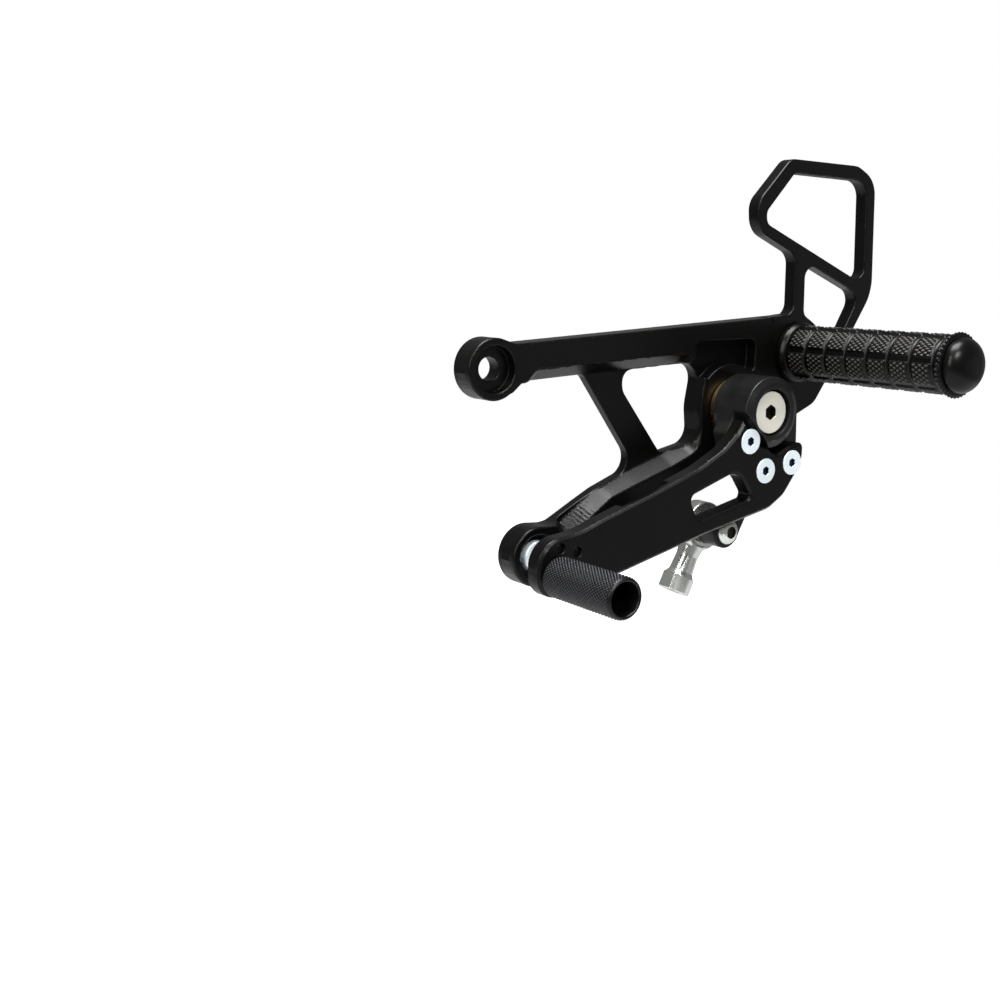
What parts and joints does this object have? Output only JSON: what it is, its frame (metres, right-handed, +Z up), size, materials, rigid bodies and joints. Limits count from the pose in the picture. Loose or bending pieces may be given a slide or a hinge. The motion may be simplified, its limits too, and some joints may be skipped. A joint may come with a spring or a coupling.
{
  "type": "motorcycle foot peg and gear lever set",
  "caption": "Motorcycle rear-set: a frame bracket with a heel guard, a knurled foot peg, a pivoting gear lever with a toe peg, and a rod end for the shift rod.",
  "frame": {"origin": "on the upper frame-bolt bore's axis, at the bracket's inboard face", "axes": "+X towards the rear of the motorcycle, +Y inboard along the frame bolts, +Z up; the pegs point along -Y"},
  "size_m": [0.2306, 0.1189, 0.1932],
  "materials": {
    "black_aluminium": "satin black anodised",
    "grip_aluminium": "knurled, matt black anodised",
    "zinc_steel": "pale zinc plate",
    "bare_steel": "ground",
    "bronze": "turned bearing bronze"
  },
  "bodies": {
    "bracket": {"bracket": "black_aluminium", "frame_bolt_lower": "zinc_steel", "peg_collar": "black_aluminium", "peg_grip": "grip_aluminium", "peg_cap": "black_aluminium", "peg_bolt": "zinc_steel", "pivot_bolt": "zinc_steel", "pivot_sleeve": "bare_steel", "pivot_nut": "zinc_steel", "thrust_ring": "bronze"},
    "gear_lever": {"lever_hub": "black_aluminium", "hub_bushing": "bronze", "lever_arm": "black_aluminium", "lever_screw_1": "zinc_steel", "lever_screw_2": "zinc_steel", "lever_screw_3": "zinc_steel", "toe_peg": "grip_aluminium", "toe_peg_bolt": "zinc_steel", "rod_bolt": "zinc_steel", "rod_nut": "zinc_steel"},
    "rod_end_ball": {"rod_end_ball": "bare_steel"},
    "rod_end": {"rod_end": "zinc_steel"}
  },
  "joints": [
    {"name": "lever_pivot", "type": "hinge", "parent": "bracket", "child": "gear_lever", "pos_m": [0.1273, -0.025, -0.0229], "axis": [0, 1, 0], "range_deg": [-12, 12]},
    {"name": "rod_end_swing", "type": "hinge", "parent": "gear_lever", "child": "rod_end_ball", "pos_m": [0.1102, -0.012, -0.075], "axis": [0, 1, 0], "range_deg": [-80, 30]},
    {"name": "rod_end_tilt", "type": "hinge", "parent": "rod_end_ball", "child": "rod_end", "pos_m": [0.1102, -0.012, -0.075], "axis": [0.8886, 0, -0.4587], "range_deg": [-8, 8]}
  ]
}
